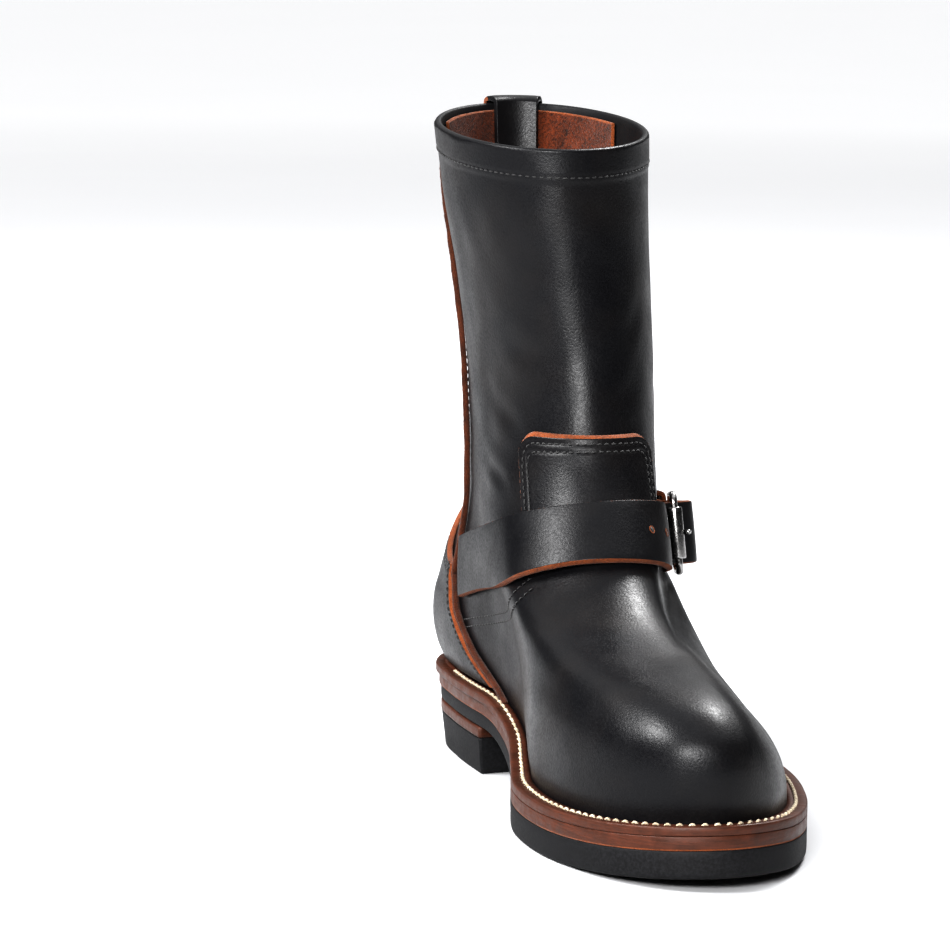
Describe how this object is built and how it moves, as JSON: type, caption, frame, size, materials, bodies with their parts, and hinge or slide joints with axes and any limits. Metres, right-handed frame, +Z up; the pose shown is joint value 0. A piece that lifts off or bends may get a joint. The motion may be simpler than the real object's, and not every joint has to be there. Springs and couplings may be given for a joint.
{
  "type": "engineer boot",
  "caption": "Left pull-on engineer boot in black leather with an ankle strap and roller buckle, instep guard, brown welt and midsole, and a low heel.",
  "frame": {"origin": "on the floor under the middle of the boot's bounding box", "axes": "+Z up, -Y towards the toe, +X towards the outer side of the foot"},
  "size_m": [0.1102, 0.3062, 0.2581],
  "materials": {
    "upper_black": "oiled, soft sheen, fine grain",
    "welt_brown": "burnished edge",
    "raw_edge": "raw cut edge",
    "suede_rust": "napped flesh side",
    "insole_tan": "smooth vegetable tan",
    "sole_black": "matt, finely textured",
    "buckle_nickel": "satin nickel plate"
  },
  "bodies": {
    "root": {"outsole": "sole_black", "midsole": "welt_brown", "welt": "welt_brown", "heel_block": "sole_black", "heel_lift": "welt_brown", "insole": "insole_tan", "upper": "upper_black", "heel_counter": "upper_black", "instep_guard": "upper_black", "side_piping_inner": "raw_edge", "side_piping_outer": "raw_edge", "ankle_strap": "upper_black", "buckle_strap": "upper_black", "buckle_frame": "buckle_nickel", "buckle_roller": "buckle_nickel", "buckle_prong": "buckle_nickel", "strap_keeper": "upper_black", "back_facing": "suede_rust", "pull_tab": "upper_black"}
  },
  "joints": []
}
